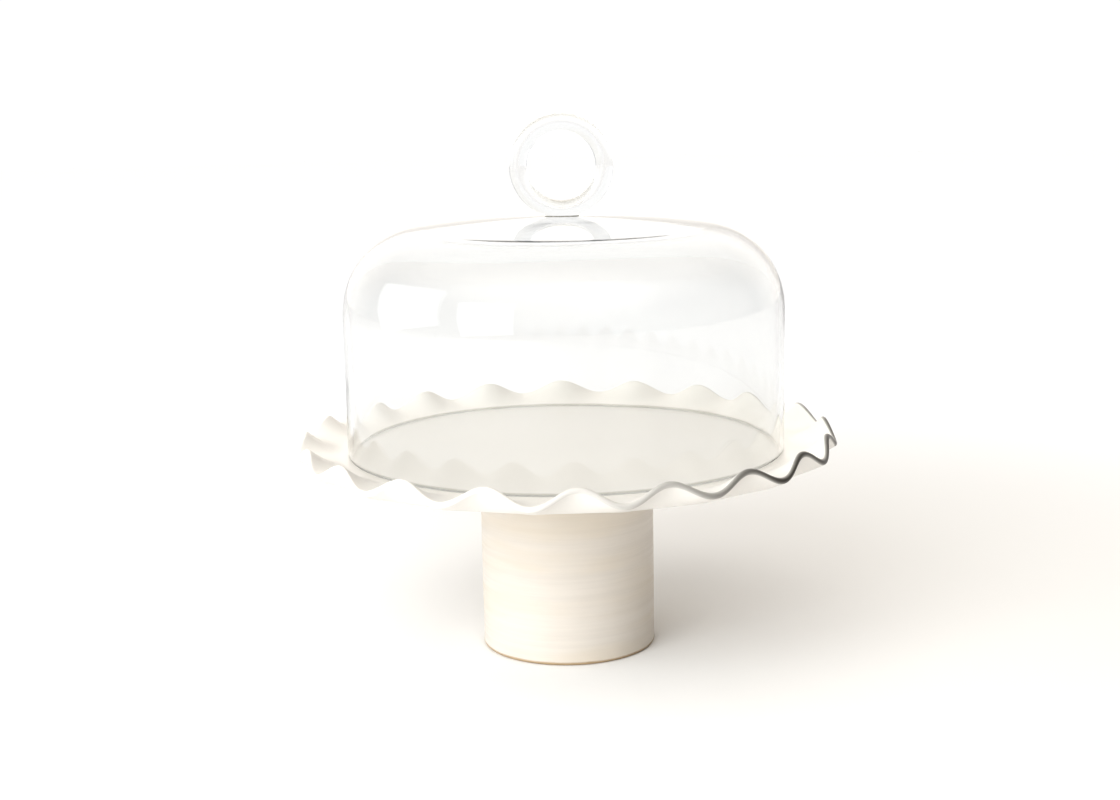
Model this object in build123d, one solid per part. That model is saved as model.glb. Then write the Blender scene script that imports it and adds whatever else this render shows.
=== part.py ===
from build123d import *
import os
from math import atan2, cos, degrees, radians, sin, sqrt, tau

# Ruffled cake stand with a lift-off glass dome.
# Millimetres. +Z is up, and the origin is the centre of the pedestal's foot, on the table.
# -Y is the front. The ring handle lies in the XZ plane.

# ---- Driving dimensions -------------------------------------------------------------

# Pedestal: a straight thrown tube of fired clay, open at the bottom.
pedestal_radius = 50.8
pedestal_wall = 6.0
pedestal_height = 112.6
pedestal_foot_round = 1.6

# Plate: a flat well with a ruffled rim that turns up round it.
plate_thickness = 5.0
well_margin = 4.0           # flat well left outside the dome's wall
heel_margin = 10.0          # the underside stays flat this much further out than the well
rim_width = 25.2            # from the well to the mean line of the rim's edge
rim_rise = 7.6              # mean height of the rim's edge over the well
rim_edge_thickness = 3.6
ruffle_count = 20
ruffle_height = 4.1         # each crest stands this much over the mean line
ruffle_sway = 2.05          # each crest leans in by this much, each trough out
first_crest_deg = 1.3       # from the front, towards +X

# Hand forming makes the rim a little irregular.
crest_drift_deg = 0.68      # crests drift once and three times round by this much
rim_lean = 0.9              # the rim is this much higher on the right than the mean
rim_ovalness = 1.8          # the rim is wider front to back than side to side
ruffle_unevenness = 0.07    # share by which ruffles differ in height

# How the rim curves up from the flat: 1 is a straight cone, and more stays flat for longer.
top_curl = 1.6
ruffle_fade = 1.5
underside_curl = 1.4

# Glass dome: straight wall, round shoulder, nearly flat crown.
dome_radius = 127.0
dome_wall = 3.5
dome_height = 134.4
dome_shoulder_radius = 48.0
dome_crown_radius = 650.0
dome_foot_round = 1.2
handle_seat_radius = 12.0   # ground flat on top of the crown

# Ring handle: a ring of round glass rod, ground flat where it stands on the crown.
ring_radius = 24.65         # to the middle of the rod
ring_rod_radius = 5.15
ring_flat_depth = 1.6
bond_thickness = 0.3        # clear adhesive film under the ring

# Points along each closed curve of the rim, for one ruffle, and how many curves there are.
points_per_ruffle = 6
rim_curves = 12
edge_curves = 2

# ---- Sizes that follow --------------------------------------------------------------

well_top = pedestal_height + plate_thickness
well_radius = dome_radius + well_margin
heel_radius = well_radius + heel_margin
dome_top = well_top + dome_height


# ---- Plate --------------------------------------------------------------------------

def ruffle(turn):
    """Height of the wave at an angle from the front: 1 at a crest and -1 at a trough."""
    drift_deg = first_crest_deg + crest_drift_deg * (cos(turn) - sin(3 * turn))
    unevenness = 1 + ruffle_unevenness * (cos(3 * turn + 1) + cos(7 * turn)) / 2
    return unevenness * cos(ruffle_count * (turn - radians(drift_deg)))


def rise(turn):
    """Height of the rim's mean line over the well."""
    return rim_rise + rim_lean * sin(turn)


def top_edge(turn):
    """Radius, height and outward slope of the rim's top surface where it ends."""
    wave = ruffle_height * ruffle(turn)
    width = rim_width - ruffle_sway * ruffle(turn) + rim_ovalness * (cos(2 * turn) - 1)
    height = well_top + rise(turn) + wave
    slope = atan2(top_curl * rise(turn) + ruffle_fade * wave, width)
    return well_radius + width, height, slope


def top_surface(share, turn):
    """Radius and height of the rim's top, from the well (0) to the edge (1)."""
    radius = well_radius + share * (top_edge(turn)[0] - well_radius)
    wave = ruffle_height * ruffle(turn)
    return radius, well_top + rise(turn) * share**top_curl + wave * share**ruffle_fade


def rim_edge(angle, turn):
    """Radius and height on the rounded edge, from the top (0) to the underside (pi)."""
    radius, height, slope = top_edge(turn)
    half = rim_edge_thickness / 2
    radius += half * sin(slope) - half * sin(slope - angle)
    height += half * (cos(slope - angle) - cos(slope))
    return radius, height


def bottom_surface(share, turn):
    """Radius and height of the rim's underside, from the heel (0) to the edge (1)."""
    edge_radius, edge_height = rim_edge(tau / 2, turn)
    radius = heel_radius + share * (edge_radius - heel_radius)
    return radius, pedestal_height + (edge_height - pedestal_height) * share**underside_curl


def closed_curve(profile, *where):
    """A closed wire round the Z axis through one (radius, height) for each angle."""
    count = ruffle_count * points_per_ruffle
    points = []
    for i in range(count):
        turn = tau * i / count
        radius, height = profile(*where, turn)
        points.append((radius * sin(turn), -radius * cos(turn), height))
    steps = [i / count for i in range(count + 1)]
    return Wire([Edge.make_spline(points, periodic=True, parameters=steps)])


def flat_ring(radius, height, turn):
    return radius, height


def make_plate():
    """One skin from the underside out, round the rim's edge and back over its top."""
    shares = [i / rim_curves for i in range(1, rim_curves + 1)]
    underside_step = (well_radius + rim_width - heel_radius) / rim_curves
    curves = [closed_curve(flat_ring, heel_radius - underside_step, pedestal_height)]
    curves.append(closed_curve(flat_ring, heel_radius, pedestal_height))
    for share in shares:
        curves.append(closed_curve(bottom_surface, share))
    for step in range(edge_curves, 0, -1):
        curves.append(closed_curve(rim_edge, tau / 2 * step / (edge_curves + 1)))
    for share in reversed(shares):
        curves.append(closed_curve(top_surface, share))
    curves.append(closed_curve(flat_ring, well_radius, well_top))
    curves.append(closed_curve(flat_ring, well_radius - well_margin / 2, well_top))
    return Solid.make_loft(curves)


# ---- Pedestal -----------------------------------------------------------------------

def make_pedestal():
    """A tube from the table to the plate's underside, with a rounded foot."""
    bore_radius = pedestal_radius - pedestal_wall
    section = Plane.XZ * Pos((bore_radius + pedestal_radius) / 2, pedestal_height / 2)
    section *= Rectangle(pedestal_wall, pedestal_height)
    foot_corners = section.vertices().sort_by(Axis.Z)[:2]
    return revolve(fillet(foot_corners, pedestal_foot_round), Axis.Z)


# ---- Glass dome ---------------------------------------------------------------------

def make_dome():
    """A turned profile of the wall: foot, outer face, seat for the handle, inner face."""
    shoulder_x = dome_radius - dome_shoulder_radius
    crown_z = dome_top - sqrt(dome_crown_radius**2 - handle_seat_radius**2)
    shoulder_z = crown_z + sqrt((dome_crown_radius - dome_shoulder_radius) ** 2 - shoulder_x**2)
    blend = degrees(atan2(shoulder_z - crown_z, shoulder_x))
    seat_edge = degrees(atan2(dome_top - crown_z, handle_seat_radius))
    inner_top = crown_z + dome_crown_radius - dome_wall
    foot = dome_foot_round

    def arcs(inset, crown_end):
        shoulder = CenterArc((shoulder_x, shoulder_z), dome_shoulder_radius - inset, 0, blend)
        crown = CenterArc((0, crown_z), dome_crown_radius - inset, blend, crown_end - blend)
        wall = Line((dome_radius - inset, well_top + foot), (dome_radius - inset, shoulder_z))
        return [wall, shoulder, crown]

    inner_radius = dome_radius - dome_wall
    outline = arcs(0, seat_edge)
    outline.append(Polyline((handle_seat_radius, dome_top), (0, dome_top), (0, inner_top)))
    outline += arcs(dome_wall, 90)
    outline.append(CenterArc((inner_radius + foot, well_top + foot), foot, 180, 90))
    outline.append(Line((inner_radius + foot, well_top), (dome_radius - foot, well_top)))
    outline.append(CenterArc((dome_radius - foot, well_top + foot), foot, 270, 90))
    section = Plane.XZ * make_face(Curve() + outline)
    return revolve(section, Axis.Z)


# ---- Ring handle and its bond -------------------------------------------------------

def make_handle():
    """The ring, standing on its ground flat over the bond."""
    flat_z = dome_top + bond_thickness
    centre_z = flat_z + ring_radius + ring_rod_radius - ring_flat_depth
    ring = Pos(0, 0, centre_z) * Torus(ring_radius, ring_rod_radius, rotation=(90, 0, 0))
    reach = 2 * (ring_radius + ring_rod_radius)
    below = (Align.CENTER, Align.CENTER, Align.MAX)
    ground_away = Pos(0, 0, flat_z) * Box(reach, reach, reach, align=below)
    return ring - ground_away


def make_bond(handle):
    """A film with the outline of the ring's flat, down to the crown."""
    flat = handle.faces().filter_by(Plane.XY).sort_by(Axis.Z)[0]
    return extrude(flat, amount=bond_thickness, dir=(0, 0, -1))


# ---- Files --------------------------------------------------------------------------

handle = make_handle()
nodes = {
    "pedestal": make_pedestal(),
    "ruffled_plate": make_plate(),
    "glass_dome": make_dome(),
    "handle_bond": make_bond(handle),
    "ring_handle": handle,
}

os.makedirs("parts", exist_ok=True)
for name, shape in nodes.items():
    export_step(shape, f"parts/{name}.step")
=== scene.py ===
import math
from collections import namedtuple

import bmesh
import bpy
from bpy.props import FloatProperty, FloatVectorProperty, IntProperty, PointerProperty
from bpy.types import Operator, Panel, PropertyGroup
from mathutils import Matrix, Quaternion, Vector


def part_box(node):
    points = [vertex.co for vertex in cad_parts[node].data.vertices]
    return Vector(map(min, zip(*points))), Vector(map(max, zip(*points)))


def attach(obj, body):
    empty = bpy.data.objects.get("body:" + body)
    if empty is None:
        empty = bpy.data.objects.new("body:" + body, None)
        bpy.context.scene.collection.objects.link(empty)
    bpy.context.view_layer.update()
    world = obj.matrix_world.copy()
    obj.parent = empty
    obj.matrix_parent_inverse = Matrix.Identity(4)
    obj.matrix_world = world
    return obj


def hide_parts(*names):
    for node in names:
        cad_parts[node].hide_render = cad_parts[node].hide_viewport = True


bl_info = {
    "name": "Ruffled Cake Stand",
    "version": (1, 0, 0),
    "blender": (4, 5, 0),
    "location": "View3D > Sidebar > Cake Stand",
    "description": "Makes a fired clay cake stand with a ruffled rim and its lift-off glass dome",
    "category": "Object",
}

MM = 0.001
FULL_TURN = 2 * math.pi

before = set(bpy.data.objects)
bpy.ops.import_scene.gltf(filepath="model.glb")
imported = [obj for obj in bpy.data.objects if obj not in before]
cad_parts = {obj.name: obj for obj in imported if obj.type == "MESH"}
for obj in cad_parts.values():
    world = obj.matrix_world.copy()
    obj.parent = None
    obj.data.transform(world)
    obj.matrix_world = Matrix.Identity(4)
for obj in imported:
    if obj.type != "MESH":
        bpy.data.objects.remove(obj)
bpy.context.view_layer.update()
PEDESTAL_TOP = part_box("pedestal")[1]
DOME_FOOT, DOME_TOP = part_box("glass_dome")
RING_FOOT, RING_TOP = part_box("ring_handle")

# How the rim curves up from the flat: 1 is a straight cone, and more stays flat for longer.
TOP_CURL = 1.6
RUFFLE_FADE = 1.5
UNDERSIDE_CURL = 1.4

# Painted shade on the rim's edge is darkest at this angle from the front, on the side turned away from
# the lamps.
SHADED_SIDE = math.radians(72)

# Colours that aren't a user's choice: clay showing in pinholes, and painted shade on the glass dome's
# foot.
PINHOLE_CLAY = (0.45, 0.38, 0.28)
# Painted shade for the dark line along the dome's foot.
FOOT_SHADE_GREY = (0.52, 0.51, 0.47)


# ---- Sizes and colours a user would change ------------------------------------------


def length(name, description, millimetres):
    """A length in metres, given in millimetres."""
    return FloatProperty(
        name=name,
        description=description,
        default=millimetres * MM,
        precision=5,
        unit="LENGTH",
        subtype="DISTANCE",
    )


def share(name, description, default):
    """A number from 0 to 1."""
    return FloatProperty(
        name=name, description=description, default=default, min=0, max=1, subtype="FACTOR"
    )


def angle(name, description, degrees):
    """An angle, given in degrees."""
    return FloatProperty(
        name=name,
        description=description,
        default=math.radians(degrees),
        unit="ROTATION",
        subtype="ANGLE",
    )


def colour(name, description, default):
    """A linear RGB colour."""
    return FloatVectorProperty(
        name=name, description=description, default=default, size=3, min=0, max=1, subtype="COLOR"
    )


class RuffledPlateSizes(PropertyGroup):
    well_margin: length("Well margin", "Flat well left outside the dome's wall", 4.0)
    heel_margin: length("Heel margin", "Flat underside further out than the well", 10.0)
    rim_width: length("Rim width", "From the well to the mean line of the rim's edge", 25.2)
    rim_rise: length("Rim rise", "Mean height of the rim's edge over the well", 7.6)
    edge_thickness: length("Edge thickness", "Thickness of the clay at the rim's edge", 3.6)
    ruffle_count: IntProperty(name="Ruffles", description="Ruffles round the rim", default=20, min=3)
    ruffle_height: length("Ruffle height", "Height of a crest over the mean line", 4.1)
    ruffle_sway: length("Ruffle sway", "How far crests lean in and troughs out", 2.05)
    first_crest: angle("First crest", "Angle of the first crest from the front", 1.3)
    crest_drift: angle("Crest drift", "How far hand forming moves the crests", 0.68)
    rim_lean: length("Rim lean", "How much higher the rim is on the right than the mean", 0.9)
    ovalness: length("Ovalness", "How much wider the rim is front to back", 1.8)
    unevenness: share("Unevenness", "Share by which ruffles differ in height", 0.07)
    well_ripple: length("Well ripple", "Depth of the potter's rings in the well", 0.08)


class PedestalSizes(PropertyGroup):
    wall: length("Wall", "Thickness of the thrown tube", 6.0)
    foot_round: length("Foot round", "Rounding of the foot ring", 1.6)
    throwing_depth: length("Throwing depth", "Depth of the throwing rings", 0.18)


class GlassSizes(PropertyGroup):
    wall: length("Wall", "Thickness of the dome", 3.5)
    shoulder_radius: length("Shoulder radius", "Outer radius of the dome's shoulder", 48.0)
    crown_radius: length("Crown radius", "Outer radius of the dome's crown", 650.0)
    foot_round: length("Foot round", "Rounding of the polished foot", 1.2)
    seat_radius: length("Seat radius", "Flat ground on the crown for the handle", 12.0)
    blown_ripple: length("Blown ripple", "Depth of the ripple on the dome's inner face", 0.25)
    rod_radius: length("Rod radius", "Radius of the ring's glass rod", 5.15)
    ring_flat: length("Ring flat", "Depth ground off the ring where it stands", 1.6)
    film_spread: length("Film spread", "How far the adhesive stands out round the ring's flat", 0.35)


class Finishes(PropertyGroup):
    gloss_glaze: colour("Gloss glaze", "Glaze on the plate", (0.855, 0.828, 0.785))
    satin_glaze: colour("Satin glaze", "Glaze on the pedestal", (0.77, 0.715, 0.65))
    # Painted shade: a near-black colour laid over the rim's edge on the side turned away from the
    # lamps.
    edge_shade_colour: colour("Edge shade", "Glaze where it breaks over the rim's edge", (0.035, 0.028, 0.018))
    bare_clay: colour("Bare clay", "Unglazed foot ring", (0.52, 0.39, 0.25))
    glass: colour("Glass", "Tint of the clear glass", (0.932, 0.935, 0.932))
    film: colour("Film", "Tint of the adhesive film", (0.30, 0.29, 0.24))
    gloss_roughness: share("Gloss roughness", "Roughness of the plate's glaze", 0.36)
    satin_roughness: share("Satin roughness", "Roughness of the pedestal's glaze", 0.42)
    glass_ior: FloatProperty(
        name="Glass IOR", description="Refractive index of the glass", default=1.47, min=1
    )


class StageSettings(PropertyGroup):
    camera_distance: length("Camera distance", "From the object's axis to the camera", 1000.0)
    camera_aside: length("Camera aside", "How far the camera stands to the right", -3.06)
    camera_height: length("Camera height", "Height of the camera over the table", 333.8)
    camera_tilt: angle("Camera tilt", "How far the camera looks down", 10.7)
    camera_roll: angle("Camera roll", "Roll of the camera about its line of sight", -1.03)
    lens: FloatProperty(name="Lens", description="Focal length", default=56.04, unit="CAMERA")
    floor_colour: colour("Floor colour", "Plain pale floor", (0.9, 0.9, 0.9))


class CakeStandSettings(PropertyGroup):
    plate: PointerProperty(type=RuffledPlateSizes)
    pedestal: PointerProperty(type=PedestalSizes)
    glass: PointerProperty(type=GlassSizes)
    finishes: PointerProperty(type=Finishes)
    stage: PointerProperty(type=StageSettings)


# ---- Mesh work ----------------------------------------------------------------------


def link_mesh(name, points, faces, sharp_degrees=40):
    """A smooth-shaded mesh object with sharp edges over an angle."""
    mesh = bpy.data.meshes.new(name)
    mesh.from_pydata(points, [], faces)
    mesh.validate()
    mesh.shade_smooth()
    mesh.set_sharp_from_angle(angle=math.radians(sharp_degrees))
    piece = bpy.data.objects.new(name, mesh)
    bpy.context.collection.objects.link(piece)
    return piece


def point_at(radius, turn, height):
    """A point at an angle from the front, -Y, towards the right, +X."""
    return (radius * math.sin(turn), -radius * math.cos(turn), height)


def turned_skin(name, rows, columns, closed=False, sharp_degrees=40):
    """A skin through rows of points round the Z axis.

    Each row is a function of the angle that gives (radius, height). A row that is a plain
    number is a point on the axis at that height. Rows run with the outside on their right.
    """
    points, starts = [], []
    for row in rows:
        starts.append(len(points))
        if not callable(row):
            points.append((0.0, 0.0, row))
            continue
        for i in range(columns):
            turn = FULL_TURN * i / columns
            radius, height = row(turn)
            points.append(point_at(radius, turn, height))
    pairs = list(zip(range(len(rows)), range(1, len(rows))))
    if closed:
        pairs.append((len(rows) - 1, 0))
    faces = []
    for low, high in pairs:
        for i in range(columns):
            j = (i + 1) % columns
            if not callable(rows[low]):
                faces.append((starts[low], starts[high] + j, starts[high] + i))
            elif not callable(rows[high]):
                faces.append((starts[low] + i, starts[low] + j, starts[high]))
            else:
                faces.append((starts[low] + i, starts[low] + j, starts[high] + j, starts[high] + i))
    return link_mesh(name, points, faces, sharp_degrees)


def outward(turn, rise):
    """The direction at an angle from the front towards the right, and an angle up."""
    return Vector((math.sin(turn) * math.cos(rise), -math.cos(turn) * math.cos(rise), math.sin(rise)))


def piece_from(mesh, name):
    """A smooth-shaded object from an edited mesh, with its faces turned outwards."""
    bmesh.ops.recalc_face_normals(mesh, faces=mesh.faces)
    for face in mesh.faces:
        face.smooth = True
    data = bpy.data.meshes.new(name)
    mesh.to_mesh(data)
    mesh.free()
    piece = bpy.data.objects.new(name, data)
    bpy.context.collection.objects.link(piece)
    return piece


def fixed(radius, height):
    """A row that is a plain circle."""
    return lambda turn: (radius, height)


def arc_rows(centre_radius, centre_height, radius, start, end, steps):
    """Circles along a rounded corner, from one angle to another, in degrees."""
    rows = []
    for i in range(steps + 1):
        bend = math.radians(start + (end - start) * i / steps)
        out, up = radius * math.cos(bend), radius * math.sin(bend)
        rows.append(fixed(centre_radius + out, centre_height + up))
    return rows


# ---- Shared material effects --------------------------------------------------------


class Tree:
    """Short calls for placing and joining the nodes of one tree."""

    def __init__(self, tree):
        self.tree = tree

    def add(self, kind, **settings):
        node = self.tree.nodes.new(kind)
        for name, value in settings.items():
            setattr(node, name, value)
        return node

    def join(self, output, node, name):
        self.tree.links.new(output, node.inputs[name])

    def put(self, node, **values):
        """Plain values for a node's inputs, with _ for a space in a name."""
        for name, value in values.items():
            node.inputs[name.replace("_", " ")].default_value = value

    def math(self, operation, first, second=None, third=None):
        node = self.add("ShaderNodeMath", operation=operation)
        for i, value in enumerate((first, second, third)):
            if value is None:
                continue
            if isinstance(value, (int, float)):
                node.inputs[i].default_value = value
            else:
                self.tree.links.new(value, node.inputs[i])
        return node.outputs[0]

    def ramp(self, value, low, high, to_low=0.0, to_high=1.0):
        """A soft step: to_low where the value is below low, to_high where it is over high."""
        node = self.add("ShaderNodeMapRange", interpolation_type="SMOOTHSTEP")
        self.join(value, node, "Value")
        self.put(node, From_Min=low, From_Max=high, To_Min=to_low, To_Max=to_high)
        return node.outputs["Result"]

    def mix(self, factor, first, second):
        node = self.add("ShaderNodeMix", data_type="RGBA")
        sockets = (node.inputs[0], node.inputs[6], node.inputs[7])
        for socket, value in zip(sockets, (factor, first, second)):
            if isinstance(value, (int, float)):
                socket.default_value = value
            elif isinstance(value, bpy.types.NodeSocket):
                self.tree.links.new(value, socket)
            else:
                socket.default_value = (*value, 1)
        return node.outputs[2]

    def noise(self, vector, scale, detail=3.0, roughness=0.5):
        node = self.add("ShaderNodeTexNoise")
        self.join(vector, node, "Vector")
        self.put(node, Scale=scale, Detail=detail, Roughness=roughness)
        return node.outputs["Fac"]

    def stretched(self, vector, scale):
        node = self.add("ShaderNodeMapping")
        self.join(vector, node, "Vector")
        self.put(node, Scale=scale)
        return node.outputs["Vector"]

    def scaled(self, light, factor):
        """A fixed light times a value that changes."""
        node = self.add("ShaderNodeVectorMath", operation="SCALE")
        node.inputs[0].default_value = light
        self.join(factor, node, "Scale")
        return node.outputs[0]

    def total(self, lights):
        """The sum of some lights."""
        result = lights[0]
        for light in lights[1:]:
            node = self.add("ShaderNodeVectorMath", operation="ADD")
            self.join(result, node, 0)
            self.join(light, node, 1)
            result = node.outputs[0]
        return result

    def group(self, tree, **values):
        node = self.add("ShaderNodeGroup", node_tree=tree)
        for name, value in values.items():
            socket = node.inputs[name.replace("_", " ")]
            if isinstance(value, bpy.types.NodeSocket):
                self.tree.links.new(value, socket)
            else:
                socket.default_value = value
        return node


def new_group(name, inputs, outputs):
    """An empty shader node group with float outputs, and its two end nodes."""
    tree = bpy.data.node_groups.new(name, "ShaderNodeTree")
    for socket_name, kind, default in inputs:
        socket = tree.interface.new_socket(name=socket_name, in_out="INPUT", socket_type=kind)
        if default is not None:
            socket.default_value = default
    for socket_name in outputs:
        tree.interface.new_socket(name=socket_name, in_out="OUTPUT", socket_type="NodeSocketFloat")
    return tree, tree.nodes.new("NodeGroupInput"), tree.nodes.new("NodeGroupOutput")


def fired_glaze_group():
    """Pooling, pinholes and soft orange-peel of a glaze, on any clay piece."""
    if "Fired Glaze" in bpy.data.node_groups:
        return bpy.data.node_groups["Fired Glaze"]
    inputs = [
        ("Position", "NodeSocketVector", None),
        ("Pooling Scale", "NodeSocketFloat", 14.0),
        ("Pinhole Share", "NodeSocketFloat", 0.5),
    ]
    tree, start, end = new_group("Fired Glaze", inputs, ("Pooling", "Pinholes", "Height"))
    t = Tree(tree)
    pooling_noise = t.add("ShaderNodeTexNoise")
    t.join(start.outputs["Position"], pooling_noise, "Vector")
    t.join(start.outputs["Pooling Scale"], pooling_noise, "Scale")
    pooling_noise.inputs["Detail"].default_value = 4.0
    pooling = t.ramp(pooling_noise.outputs["Fac"], 0.35, 0.7)
    peel = t.noise(start.outputs["Position"], 260.0, detail=2.0)
    spots = t.add("ShaderNodeTexVoronoi", feature="F1")
    t.join(start.outputs["Position"], spots, "Vector")
    spots.inputs["Scale"].default_value = 95.0
    near = t.ramp(spots.outputs["Distance"], 0.05, 0.16, 1.0, 0.0)
    picked = t.add("ShaderNodeSeparateColor")
    t.join(spots.outputs["Color"], picked, "Color")
    few = t.math("LESS_THAN", picked.outputs["Red"], 0.06)
    pinholes = t.math("MULTIPLY", t.math("MULTIPLY", near, few), start.outputs["Pinhole Share"])
    uneven = t.math("ADD", t.math("MULTIPLY", pooling, 0.6), t.math("MULTIPLY", peel, 0.25))
    height = t.math("SUBTRACT", uneven, pinholes)
    t.join(pooling, end, "Pooling")
    t.join(pinholes, end, "Pinholes")
    t.join(height, end, "Height")
    return tree


def worked_glass_group():
    """Faint cords and chill ripple left in worked glass, on the dome and on the ring."""
    if "Worked Glass" in bpy.data.node_groups:
        return bpy.data.node_groups["Worked Glass"]
    inputs = [("Position", "NodeSocketVector", None), ("Ripple Scale", "NodeSocketFloat", 30.0)]
    tree, start, end = new_group("Worked Glass", inputs, ("Cords", "Height"))
    t = Tree(tree)
    ripple = t.add("ShaderNodeTexNoise")
    t.join(start.outputs["Position"], ripple, "Vector")
    t.join(start.outputs["Ripple Scale"], ripple, "Scale")
    ripple.inputs["Detail"].default_value = 1.5
    drawn = t.stretched(start.outputs["Position"], (1.0, 1.0, 6.0))
    cords = t.ramp(t.noise(drawn, 9.0, detail=2.0), 0.4, 0.75)
    t.join(cords, end, "Cords")
    t.join(ripple.outputs["Fac"], end, "Height")
    return tree


def new_material(name):
    """A material with an empty tree, its Tree calls and its output node."""
    material = bpy.data.materials.new(name)
    material.use_nodes = True
    material.node_tree.nodes.clear()
    t = Tree(material.node_tree)
    return material, t, t.add("ShaderNodeOutputMaterial")


def bump(t, height, strength, distance):
    """A normal bent by a height that changes over the surface."""
    node = t.add("ShaderNodeBump")
    t.put(node, Strength=strength, Distance=distance)
    t.join(height, node, "Height")
    return node.outputs["Normal"]


def gloss_glaze_material(finishes):
    """Glossy cream-white glaze, with painted shade darkening the rim's edge on its right-hand side."""
    material, t, output = new_material("gloss_glaze")
    position = t.add("ShaderNodeTexCoord").outputs["Object"]
    glaze = t.group(fired_glaze_group(), Position=position, Pooling_Scale=11.0, Pinhole_Share=0.35)
    pale = tuple(finishes.gloss_glaze)
    pooled = tuple(c * 0.985 for c in pale)
    body = t.mix(glaze.outputs["Pooling"], pale, pooled)
    # Painted shade: the rim's edge goes near-black on its shaded side, by the stored mask.
    edge_shade_node = t.add("ShaderNodeAttribute", attribute_name="painted_edge_shade")
    body = t.mix(edge_shade_node.outputs["Fac"], body, tuple(finishes.edge_shade_colour))
    body = t.mix(t.math("MULTIPLY", glaze.outputs["Pinholes"], 0.35), body, PINHOLE_CLAY)
    shader = t.add("ShaderNodeBsdfPrincipled")
    t.join(body, shader, "Base Color")
    gloss = finishes.gloss_roughness
    smoother = t.ramp(glaze.outputs["Pooling"], 0.0, 1.0, gloss * 1.08, gloss * 0.94)
    t.join(smoother, shader, "Roughness")
    # Less coat where the rim's edge carries the painted shade.
    shaded_edge_coat = t.math("MULTIPLY_ADD", edge_shade_node.outputs["Fac"], -0.12, 0.16)
    t.join(shaded_edge_coat, shader, "Coat Weight")
    t.put(shader, IOR=1.5, Coat_Roughness=0.22)
    t.join(bump(t, glaze.outputs["Height"], 0.12, 0.0006), shader, "Normal")
    t.join(shader.outputs["BSDF"], output, "Surface")
    return material


def satin_glaze_material(finishes):
    """Satin glaze brushed round the pedestal, wiped off the foot ring to bare clay."""
    material, t, output = new_material("satin_glaze")
    position = t.add("ShaderNodeTexCoord").outputs["Object"]
    glaze = t.group(fired_glaze_group(), Position=position, Pooling_Scale=16.0, Pinhole_Share=0.5)
    axes = t.add("ShaderNodeSeparateXYZ")
    t.join(position, axes, "Vector")
    brushed = t.noise(t.stretched(position, (5.0, 5.0, 190.0)), 1.6, detail=5.0, roughness=0.65)
    strokes = t.noise(t.stretched(position, (9.0, 9.0, 46.0)), 1.3, detail=2.0)
    lines = t.ramp(brushed, 0.36, 0.66)
    pale = tuple(finishes.satin_glaze)
    body = t.mix(t.math("MULTIPLY", lines, 0.55), pale, tuple(c * 0.93 for c in pale))
    warm = (pale[0] * 0.97, pale[1] * 0.93, pale[2] * 0.84)
    body = t.mix(t.math("MULTIPLY", t.ramp(strokes, 0.4, 0.7), 0.5), body, warm)
    ragged = t.math("MULTIPLY_ADD", t.noise(position, 60.0), 0.0012, axes.outputs["Z"])
    bare = t.ramp(ragged, 0.0018, 0.0030, 1.0, 0.0)
    body = t.mix(bare, body, tuple(finishes.bare_clay))
    shader = t.add("ShaderNodeBsdfPrincipled")
    t.join(body, shader, "Base Color")
    satin = finishes.satin_roughness
    glazed = t.ramp(lines, 0.0, 1.0, satin * 0.85, satin * 1.2)
    t.join(t.math("MULTIPLY_ADD", bare, 0.35, glazed), shader, "Roughness")
    relief = t.math("MULTIPLY_ADD", glaze.outputs["Height"], 0.5, brushed)
    t.join(bump(t, relief, 0.25, 0.0008), shader, "Normal")
    t.join(shader.outputs["BSDF"], output, "Surface")
    return material


def glass_material(name, finishes, ripple_scale, ripple_depth, foot_z=None):
    """Clear glass, greyer on its foot where it has one, as painted shade for the dark line at the thick
    foot.

    Lamps and the light that clay scatters pass straight through it.
    """
    material, t, output = new_material(name)
    position = t.add("ShaderNodeTexCoord").outputs["Object"]
    worked = t.group(worked_glass_group(), Position=position, Ripple_Scale=ripple_scale)
    shader = t.add("ShaderNodeBsdfPrincipled")
    clear = tuple(finishes.glass)
    body = t.mix(worked.outputs["Cords"], clear, tuple(c * 0.992 for c in clear))
    if foot_z is not None:
        axes = t.add("ShaderNodeSeparateXYZ")
        t.join(position, axes, "Vector")
        # Painted shade: the lowest couple of millimetres of the foot turn grey.
        foot = t.ramp(axes.outputs["Z"], foot_z + 0.0008, foot_z + 0.0024, 0.85, 0.0)
        body = t.mix(foot, body, FOOT_SHADE_GREY)
    t.join(body, shader, "Base Color")
    t.put(shader, Roughness=0.0, IOR=finishes.glass_ior, Transmission_Weight=1.0)
    t.join(bump(t, worked.outputs["Height"], 0.05, ripple_depth), shader, "Normal")
    through = t.add("ShaderNodeBsdfTransparent")
    t.put(through, Color=(*clear, 1))
    path = t.add("ShaderNodeLightPath")
    passes = t.math("MAXIMUM", path.outputs["Is Shadow Ray"], path.outputs["Is Diffuse Ray"])
    mixed = t.add("ShaderNodeMixShader")
    t.join(passes, mixed, 0)
    t.join(shader.outputs["BSDF"], mixed, 1)
    t.join(through.outputs["BSDF"], mixed, 2)
    t.join(mixed.outputs["Shader"], output, "Surface")
    return material


def film_material(finishes):
    """Cured adhesive between the ring and the crown: faintly grey, with trapped bubbles."""
    material, t, output = new_material("clear_film")
    position = t.add("ShaderNodeTexCoord").outputs["Object"]
    bubbles = t.ramp(t.noise(position, 900.0, detail=1.0), 0.60, 0.68)
    shader = t.add("ShaderNodeBsdfPrincipled")
    tint = tuple(finishes.film)
    t.join(t.mix(bubbles, tint, tuple(min(1.0, c * 1.6) for c in tint)), shader, "Base Color")
    t.put(shader, Roughness=0.12, IOR=1.5, Transmission_Weight=0.35)
    t.join(bump(t, bubbles, 0.2, 0.0001), shader, "Normal")
    t.join(shader.outputs["BSDF"], output, "Surface")
    return material


# ---- The ruffled rim ----------------------------------------------------------------


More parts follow.
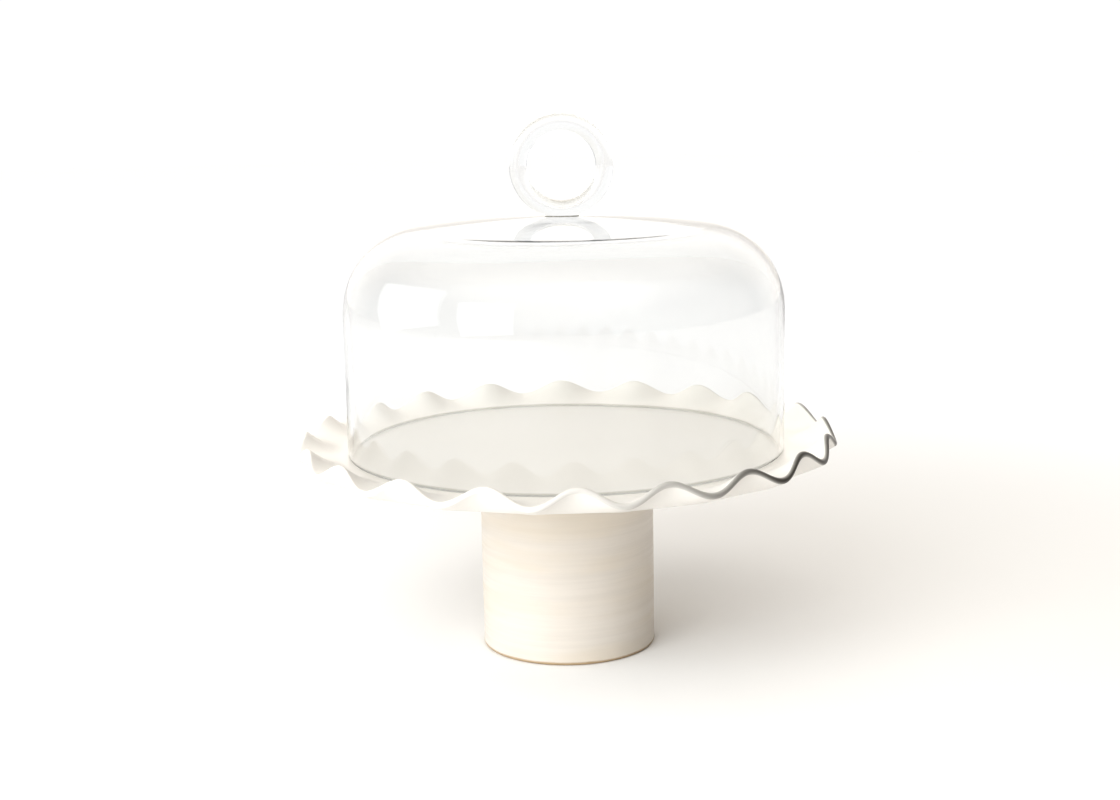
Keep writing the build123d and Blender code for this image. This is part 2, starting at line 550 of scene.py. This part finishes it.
class RuffledRim:
    """Where the rim's surfaces lie, at each angle from the front."""

    def __init__(self, sizes):
        self.sizes = sizes
        self.well_top = DOME_FOOT.z
        self.underside = PEDESTAL_TOP.z
        self.well_radius = DOME_TOP.x + sizes.well_margin
        self.heel_radius = self.well_radius + sizes.heel_margin

    def wave(self, turn):
        s = self.sizes
        drift = s.first_crest + s.crest_drift * (math.cos(turn) - math.sin(3 * turn))
        uneven = 1 + s.unevenness * (math.cos(3 * turn + 1) + math.cos(7 * turn)) / 2
        return uneven * math.cos(s.ruffle_count * (turn - drift))

    def rise(self, turn):
        return self.sizes.rim_rise + self.sizes.rim_lean * math.sin(turn)

    def top_edge(self, turn):
        s, wave = self.sizes, self.wave(turn)
        width = s.rim_width - s.ruffle_sway * wave + s.ovalness * (math.cos(2 * turn) - 1)
        height = self.well_top + self.rise(turn) + s.ruffle_height * wave
        slope = math.atan2(TOP_CURL * self.rise(turn) + RUFFLE_FADE * s.ruffle_height * wave, width)
        return self.well_radius + width, height, slope

    def top(self, out):
        """The rim's top, from the well (0) to the edge (1)."""

        def row(turn):
            radius = self.well_radius + out * (self.top_edge(turn)[0] - self.well_radius)
            wave = self.sizes.ruffle_height * self.wave(turn)
            return radius, self.well_top + self.rise(turn) * out**TOP_CURL + wave * out**RUFFLE_FADE

        return row

    def edge(self, bend):
        """The rounded edge, from the top (0) to the underside (pi)."""

        def row(turn):
            radius, height, slope = self.top_edge(turn)
            half = self.sizes.edge_thickness / 2
            radius += half * (math.sin(slope) - math.sin(slope - bend))
            return radius, height + half * (math.cos(slope - bend) - math.cos(slope))

        return row

    def bottom(self, out):
        """The rim's underside, from the heel (0) to the edge (1)."""
        edge = self.edge(math.pi)

        def row(turn):
            edge_radius, edge_height = edge(turn)
            radius = self.heel_radius + out * (edge_radius - self.heel_radius)
            return radius, self.underside + (edge_height - self.underside) * out**UNDERSIDE_CURL

        return row


def painted_edge_shade(turn, bend):
    """How much painted shade the rim's edge gets, from 0 to 1: most across the middle of the rounded
    edge, on the shaded side.
    """
    side = 0.5 + 0.5 * math.cos(turn - SHADED_SIDE)
    across = max(0.0, math.sin(bend)) ** 0.5
    return across * min(1.0, 1.25 * side**4)


def store_edge_shade(plate, columns, first_point, bends):
    """Stores the painted shade of the rim's edge, whose rows start at first_point."""
    mask = plate.data.attributes.new("painted_edge_shade", "FLOAT", "POINT")
    for k, bend in enumerate(bends):
        for i in range(columns):
            point = first_point + k * columns + i
            mask.data[point].value = painted_edge_shade(FULL_TURN * i / columns, bend)


# ---- Operators: one for each piece --------------------------------------------------


class CAKESTAND_OT_ruffled_plate(Operator):
    """Make the plate: flat well, ruffled rim with a rounded edge, flat heel underneath"""

    bl_idname = "cakestand.ruffled_plate"
    bl_label = "Ruffled Plate"

    columns = 640
    heel_rows = 6
    rim_rows = 16
    edge_rows = 12
    well_rows = 26
    potters_rings = 9

    def execute(self, context):
        settings = context.scene.cake_stand
        sizes = settings.plate
        rim = RuffledRim(sizes)
        rows = [rim.underside]
        for i in range(1, self.heel_rows + 1):
            rows.append(fixed(rim.heel_radius * i / self.heel_rows, rim.underside))
        for i in range(1, self.rim_rows):
            rows.append(rim.bottom(i / self.rim_rows))
        first_edge_point = 1 + (len(rows) - 1) * self.columns
        bends = [math.pi * (1 - i / self.edge_rows) for i in range(self.edge_rows + 1)]
        rows += [rim.edge(bend) for bend in bends]
        for i in range(self.rim_rows - 1, 0, -1):
            rows.append(rim.top(i / self.rim_rows))
        rows.append(fixed(rim.well_radius, rim.well_top))
        foot_inside = DOME_TOP.x - settings.glass.wall
        for i in range(self.well_rows, 0, -1):
            reach = i / self.well_rows
            ring = 0.5 - 0.5 * math.cos(FULL_TURN * self.potters_rings * reach)
            fade = min(1.0, (1 - reach) * 6)
            depth = sizes.well_ripple * ring * fade
            rows.append(fixed(foot_inside * reach, rim.well_top - depth))
        rows.append(rim.well_top)
        plate = turned_skin("stand_ruffled_plate", rows, self.columns, sharp_degrees=80)
        # Painted shade for the rim's edge, stored as a mask.
        store_edge_shade(plate, self.columns, first_edge_point, bends)
        plate.data.materials.append(gloss_glaze_material(settings.finishes))
        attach(plate, "stand")
        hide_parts("ruffled_plate")
        return {"FINISHED"}


class CAKESTAND_OT_pedestal(Operator):
    """Make the pedestal: a thrown tube with throwing rings and a wiped foot ring"""

    bl_idname = "cakestand.pedestal"
    bl_label = "Pedestal"

    columns = 256
    wall_rows = 110
    ring_pitch = 0.0064
    smooth_end = 0.004

    def execute(self, context):
        settings = context.scene.cake_stand
        sizes = settings.pedestal
        outer = PEDESTAL_TOP.x
        bore = outer - sizes.wall
        top = PEDESTAL_TOP.z
        foot = sizes.foot_round

        def thrown(height, sign, reference):
            """The wall at a height, with a spiral of throwing rings and a slow swell."""
            fade = min(1.0, (top - height) / self.smooth_end, (height - foot) / self.smooth_end)

            def row(turn):
                spiral = height / self.ring_pitch + turn / FULL_TURN
                ring = 0.5 - 0.5 * math.cos(FULL_TURN * spiral)
                swell = 0.5 - 0.5 * math.cos(2 * turn + height * 55)
                depth = sizes.throwing_depth * (0.45 * ring + 0.55 * swell) * fade
                return reference - sign * depth, height

            return row

        span = top - foot
        heights = [foot + span * i / self.wall_rows for i in range(self.wall_rows + 1)]
        rows = arc_rows(outer - foot, foot, foot, -90, 0, 8)[:-1]
        rows += [thrown(height, 1, outer) for height in heights]
        rows += [thrown(height, -1, bore) for height in reversed(heights)]
        rows += arc_rows(bore + foot, foot, foot, 180, 270, 8)[1:]
        pedestal = turned_skin("stand_pedestal", rows, self.columns, closed=True)
        pedestal.data.materials.append(satin_glaze_material(settings.finishes))
        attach(pedestal, "stand")
        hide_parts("pedestal")
        return {"FINISHED"}


class CAKESTAND_OT_glass_dome(Operator):
    """Make the blown glass dome: polished foot, straight wall, round shoulder, flat crown"""

    bl_idname = "cakestand.glass_dome"
    bl_label = "Glass Dome"

    columns = 256
    wall_rows = 12
    shoulder_rows = 28
    crown_rows = 14

    def execute(self, context):
        settings = context.scene.cake_stand
        sizes = settings.glass
        outer, foot_z, top = DOME_TOP.x, DOME_FOOT.z, DOME_TOP.z
        foot, wall = sizes.foot_round, sizes.wall
        shoulder_x = outer - sizes.shoulder_radius
        crown_z = top - math.sqrt(sizes.crown_radius**2 - sizes.seat_radius**2)
        centres_apart = sizes.crown_radius - sizes.shoulder_radius
        shoulder_z = crown_z + math.sqrt(centres_apart**2 - shoulder_x**2)
        blend = math.atan2(shoulder_z - crown_z, shoulder_x)

        def ripple(turn, height):
            """How far the blown inner face stands in from an even wall."""
            wave = math.cos(3 * turn + height * 31) + math.cos(5 * turn - height * 47 + 2) + 2
            return sizes.blown_ripple * wave / 4

        def on_wall(inset, up):
            height = foot_z + foot + (shoulder_z - foot_z - foot) * up
            if not inset:
                return fixed(outer, height)
            fade = min(1.0, up * 4)
            return lambda turn: (outer - inset - fade * ripple(turn, height), height)

        def on_shoulder(inset, bend):
            def row(turn):
                radius = sizes.shoulder_radius - inset
                height = shoulder_z + radius * math.sin(bend)
                if inset:
                    radius -= ripple(turn, height)
                return shoulder_x + radius * math.cos(bend), shoulder_z + radius * math.sin(bend)

            return row

        def on_crown(inset, radius_from_axis):
            def row(turn):
                reach = sizes.crown_radius - inset
                height = crown_z + math.sqrt(reach**2 - radius_from_axis**2)
                if inset:
                    height -= ripple(turn, height) * min(1.0, radius_from_axis / 0.03)
                return radius_from_axis, height

            return row

        def face_rows(inset, crown_end):
            rows = [on_wall(inset, i / self.wall_rows) for i in range(self.wall_rows)]
            for i in range(self.shoulder_rows):
                rows.append(on_shoulder(inset, blend * i / self.shoulder_rows))
            crown_start = (sizes.crown_radius - inset) * math.cos(blend)
            for i in range(self.crown_rows + 1):
                inward = (crown_end - crown_start) * i / self.crown_rows
                rows.append(on_crown(inset, crown_start + inward))
            return rows

        rows = arc_rows(outer - foot, foot_z + foot, foot, -90, 0, 8)[:-1]
        rows += face_rows(0.0, sizes.seat_radius)
        rows.append(fixed(sizes.seat_radius / 2, top))
        rows.append(top)
        inside = [crown_z + sizes.crown_radius - wall]
        inside += reversed(face_rows(wall, sizes.seat_radius / 2))
        inside += arc_rows(outer - wall + foot, foot_z + foot, foot, 180, 270, 8)[1:]
        dome = self.join_faces(rows, inside)
        material = glass_material("dome_glass", settings.finishes, 34.0, 0.0006, foot_z)
        dome.data.materials.append(material)
        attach(dome, "dome")
        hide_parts("glass_dome")
        return {"FINISHED"}

    def join_faces(self, outside, inside):
        """One closed wall from its outer and inner skins, joined under the foot."""
        parts = [
            turned_skin("dome_outside", outside, self.columns),
            turned_skin("dome_inside", inside, self.columns),
        ]
        mesh = bmesh.new()
        for part in parts:
            mesh.from_mesh(part.data)
            bpy.data.meshes.remove(part.data)
        open_edges = [edge for edge in mesh.edges if edge.is_boundary]
        bmesh.ops.bridge_loops(mesh, edges=open_edges)
        return piece_from(mesh, "dome_glass_wall")


class CAKESTAND_OT_ring_handle(Operator):
    """Make the ring handle: a ring of glass rod, ground flat where it stands on the crown"""

    bl_idname = "cakestand.ring_handle"
    bl_label = "Ring Handle"

    around = 192
    section = 64
    ground_edge = 0.12 * MM

    def execute(self, context):
        settings = context.scene.cake_stand
        mesh = self.full_ring(settings.glass.rod_radius)
        self.grind_flat(mesh)
        handle = piece_from(mesh, "dome_ring_handle")
        handle.data.set_sharp_from_angle(angle=math.radians(30))
        material = glass_material("ring_glass", settings.finishes, 60.0, 0.0004)
        handle.data.materials.append(material)
        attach(handle, "dome")
        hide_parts("ring_handle")
        return {"FINISHED"}

    def full_ring(self, rod):
        """The whole ring of round rod, before it is ground."""
        ring = RING_TOP.x - rod
        centre = Vector((0, 0, RING_TOP.z - ring - rod))
        mesh = bmesh.new()
        loops = []
        for i in range(self.around):
            turn = FULL_TURN * i / self.around
            loop = []
            for k in range(self.section):
                bend = FULL_TURN * k / self.section
                reach = ring + rod * math.cos(bend)
                across, along, up = reach * math.sin(turn), rod * math.sin(bend), reach * math.cos(turn)
                loop.append(mesh.verts.new(centre + Vector((across, along, up))))
            loops.append(loop)
        for i, loop in enumerate(loops):
            ahead = loops[(i + 1) % self.around]
            for k in range(self.section):
                j = (k + 1) % self.section
                mesh.faces.new((loop[k], loop[j], ahead[j], ahead[k]))
        return mesh

    def grind_flat(self, mesh):
        """Cuts the ring off at its flat, closes it there and dulls the ground edge."""
        everything = mesh.verts[:] + mesh.edges[:] + mesh.faces[:]
        flat, down = (0, 0, RING_FOOT.z), (0, 0, -1)
        bmesh.ops.bisect_plane(mesh, geom=everything, plane_co=flat, plane_no=down, clear_outer=True)
        bmesh.ops.remove_doubles(mesh, verts=mesh.verts[:], dist=1e-7)
        rim = [edge for edge in mesh.edges if edge.is_boundary]
        bmesh.ops.contextual_create(mesh, geom=rim)
        ground = [edge for edge in mesh.edges if edge.calc_face_angle(0) > math.radians(20)]
        bmesh.ops.bevel(
            mesh, geom=ground, offset=self.ground_edge, segments=2, affect="EDGES", profile=0.5
        )


class CAKESTAND_OT_handle_bond(Operator):
    """Make the adhesive film under the ring, with a small hollow fillet round it"""

    bl_idname = "cakestand.handle_bond"
    bl_label = "Handle Bond"

    columns = 96
    fillet_rows = 6

    def execute(self, context):
        settings = context.scene.cake_stand
        sizes = settings.glass
        rod = sizes.rod_radius
        ring = RING_TOP.x - rod
        bottom, top = DOME_TOP.z, RING_FOOT.z
        drop = ring + rod - sizes.ring_flat
        half_length = math.sqrt((ring + rod) ** 2 - drop**2)
        points, faces = [], []
        for k in range(self.fillet_rows + 1):
            up = k / self.fillet_rows
            spread = sizes.film_spread * (1 - up) ** 2
            for i in range(self.columns):
                turn = FULL_TURN * i / self.columns
                x = half_length * math.cos(turn)
                width = math.sqrt(max(0.0, rod**2 - (math.hypot(x, drop) - ring) ** 2))
                y = math.copysign(width, math.sin(turn))
                away = Vector((x / half_length**2, y / rod**2, 0)).normalized()
                points.append((x + away.x * spread, y + away.y * spread, bottom + (top - bottom) * up))
        for k in range(self.fillet_rows):
            for i in range(self.columns):
                j = (i + 1) % self.columns
                low, high = k * self.columns, (k + 1) * self.columns
                faces.append((low + i, low + j, high + j, high + i))
        faces.append(tuple(reversed(range(self.columns))))
        last_row = self.fillet_rows * self.columns
        faces.append(tuple(range(last_row, last_row + self.columns)))
        film = link_mesh("dome_handle_bond", points, faces)
        film.data.materials.append(film_material(settings.finishes))
        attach(film, "dome")
        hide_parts("handle_bond")
        return {"FINISHED"}


# ---- Stage --------------------------------------------------------------------------

# A large soft lamp that faces the object: azimuth 0 is in front of it and 90 on its right, all
# angles are in degrees, and a mirrored lamp shows in the glass.
SoftLamp = namedtuple("SoftLamp", "name azimuth height lean size power mirrored")

# A soft patch of sky: it fades in between two cosines of the angle from its middle.
SkyPatch = namedtuple("SkyPatch", "azimuth height fade light")


class CAKESTAND_OT_stage(Operator):
    """Make the pale floor, the soft window light and the camera"""

    bl_idname = "cakestand.stage"
    bl_label = "Stage"

    floor_reach = 6.0
    floor_rings = 24
    lamp_distance = 1.7
    lamps = (
        SoftLamp("left_window", -89.0, 15.0, 21.0, (1.27, 1.19), 6.0, True),
        SoftLamp("front_left_window", -40.0, 14.5, 8.0, (0.86, 1.15), 5.0, True),
        SoftLamp("key", -31.0, 21.0, 0.0, (1.3, 1.1), 18.5, False),
    )
    lamp_colour = (0.93, 0.97, 1.0)
    left_front = SkyPatch(-65, 20, (0.2, 0.85), (0.24, 0.24, 0.24))
    back = SkyPatch(180, 5, (0.45, 0.9), (0.95, 0.88, 0.8))
    high_front = SkyPatch(-10, 50, (0.6, 0.95), (0.62, 0.59, 0.55))
    ceiling = SkyPatch(0, 90, (0.4, 0.9), (0.92, 0.88, 0.82))
    seen_room = (0.56, 0.58, 0.59)
    backdrop = 1.03
    backdrop_right = (0.975, 0.965, 0.945)
    exposure = 0.04
    contrast = 0.86

    def execute(self, context):
        stage = context.scene.cake_stand.stage
        context.scene.view_settings.view_transform = "Standard"
        context.scene.view_settings.exposure = self.exposure
        context.scene.view_settings.gamma = self.contrast
        self.make_floor(stage)
        self.make_sky(context.scene)
        for lamp in self.lamps:
            self.make_lamp(context.scene, lamp)
        self.make_camera(context.scene, stage)
        return {"FINISHED"}

    def make_floor(self, stage):
        """A pale disc. Far from the object it glows a little, as paper lit by the room does."""
        rows = []
        for i in range(self.floor_rings, 0, -1):
            rows.append(fixed(self.floor_reach * (i / self.floor_rings) ** 2, 0.0))
        rows.append(0.0)
        floor = turned_skin("floor", rows, 96)
        material, t, output = new_material("pale_floor")
        shader = t.add("ShaderNodeBsdfPrincipled")
        position = t.add("ShaderNodeTexCoord").outputs["Object"]
        pale = tuple(stage.floor_colour)
        uneven = t.mix(t.noise(position, 2.0), pale, tuple(c * 0.99 for c in pale))
        t.join(uneven, shader, "Base Color")
        far = t.add("ShaderNodeVectorMath", operation="LENGTH")
        t.join(position, far, 0)
        t.join(t.ramp(far.outputs["Value"], 0.35, 1.0, 0.0, 0.24), shader, "Emission Strength")
        t.put(shader, Emission_Color=(0.75, 0.85, 1, 1), Roughness=0.7, Specular_IOR_Level=0.0)
        t.join(shader.outputs["BSDF"], output, "Surface")
        floor.data.materials.append(material)

    def make_sky(self, scene):
        """A soft room: patches of light, a pale room seen in the glass, a white backdrop."""
        world = bpy.data.worlds.new("studio")
        scene.world = world
        world.use_nodes = True
        world.node_tree.nodes.clear()
        t = Tree(world.node_tree)
        direction = t.add("ShaderNodeTexCoord").outputs["Generated"]
        lights = []
        for patch in (self.left_front, self.back, self.high_front, self.ceiling):
            facing = t.add("ShaderNodeVectorMath", operation="DOT_PRODUCT")
            t.join(direction, facing, 0)
            middle = outward(math.radians(patch.azimuth), math.radians(patch.height))
            facing.inputs[1].default_value = middle
            lights.append(t.scaled(patch.light, t.ramp(facing.outputs["Value"], *patch.fade)))
        path = t.add("ShaderNodeLightPath").outputs
        seen = t.math("MAXIMUM", path["Is Glossy Ray"], path["Is Transmission Ray"])
        lights.append(t.scaled(self.seen_room, seen))
        axes = t.add("ShaderNodeSeparateXYZ")
        t.join(direction, axes, "Vector")
        through = t.math("MULTIPLY", path["Is Transmission Ray"], t.ramp(axes.outputs["Y"], 0.45, 0.7))
        behind = t.math("MAXIMUM", path["Is Camera Ray"], through)
        left = (self.backdrop, self.backdrop, self.backdrop)
        right = tuple(self.backdrop * c for c in self.backdrop_right)
        backdrop = t.mix(t.ramp(axes.outputs["X"], 0.0, 0.35), left, right)
        background = t.add("ShaderNodeBackground")
        t.join(t.mix(behind, t.total(lights), backdrop), background, "Color")
        output = t.add("ShaderNodeOutputWorld")
        t.join(background.outputs["Background"], output, "Surface")

    def make_lamp(self, scene, lamp):
        light = bpy.data.lights.new(lamp.name, "AREA")
        light.shape = "RECTANGLE"
        light.size, light.size_y = lamp.size
        light.energy = lamp.power
        light.color = self.lamp_colour
        out = outward(math.radians(lamp.azimuth), math.radians(lamp.height))
        lean = Quaternion((0, 0, 1), math.radians(lamp.lean))
        holder = bpy.data.objects.new(lamp.name, light)
        holder.location = Vector((0, 0, DOME_TOP.z)) + out * self.lamp_distance
        holder.rotation_mode = "QUATERNION"
        holder.rotation_quaternion = out.to_track_quat("Z", "Y") @ lean
        holder.visible_glossy = lamp.mirrored
        holder.visible_transmission = lamp.mirrored
        scene.collection.objects.link(holder)

    def make_camera(self, scene, stage):
        camera = bpy.data.cameras.new("camera")
        camera.lens = stage.lens
        camera.sensor_width = 36.0
        holder = bpy.data.objects.new("camera", camera)
        place = Matrix.Translation((stage.camera_aside, -stage.camera_distance, stage.camera_height))
        look = Matrix.Rotation(math.pi / 2 - stage.camera_tilt, 4, "X")
        roll = Matrix.Rotation(stage.camera_roll, 4, "Z")
        holder.matrix_world = place @ look @ roll
        scene.collection.objects.link(holder)
        scene.camera = holder


class CAKESTAND_PT_panel(Panel):
    """Buttons for each piece of the cake stand"""

    bl_label = "Cake Stand"
    bl_idname = "CAKESTAND_PT_panel"
    bl_space_type = "VIEW_3D"
    bl_region_type = "UI"
    bl_category = "Cake Stand"

    def draw(self, context):
        for operator in PIECES:
            self.layout.operator(operator.bl_idname)
        for group in CakeStandSettings.__annotations__:
            settings = getattr(context.scene.cake_stand, group)
            box = self.layout.box()
            box.label(text=group.capitalize())
            for name in type(settings).__annotations__:
                box.prop(settings, name)


PIECES = (
    CAKESTAND_OT_stage,
    CAKESTAND_OT_pedestal,
    CAKESTAND_OT_ruffled_plate,
    CAKESTAND_OT_glass_dome,
    CAKESTAND_OT_ring_handle,
    CAKESTAND_OT_handle_bond,
)
CLASSES = (
    RuffledPlateSizes,
    PedestalSizes,
    GlassSizes,
    Finishes,
    StageSettings,
    CakeStandSettings,
    *PIECES,
    CAKESTAND_PT_panel,
)


def register():
    for cls in CLASSES:
        bpy.utils.register_class(cls)
    bpy.types.Scene.cake_stand = PointerProperty(type=CakeStandSettings)


def unregister():
    del bpy.types.Scene.cake_stand
    for cls in reversed(CLASSES):
        bpy.utils.unregister_class(cls)


def main():
    register()
    for operator in PIECES:
        getattr(bpy.ops.cakestand, operator.bl_idname.split(".")[1])()


if __name__ == "__main__":
    main()
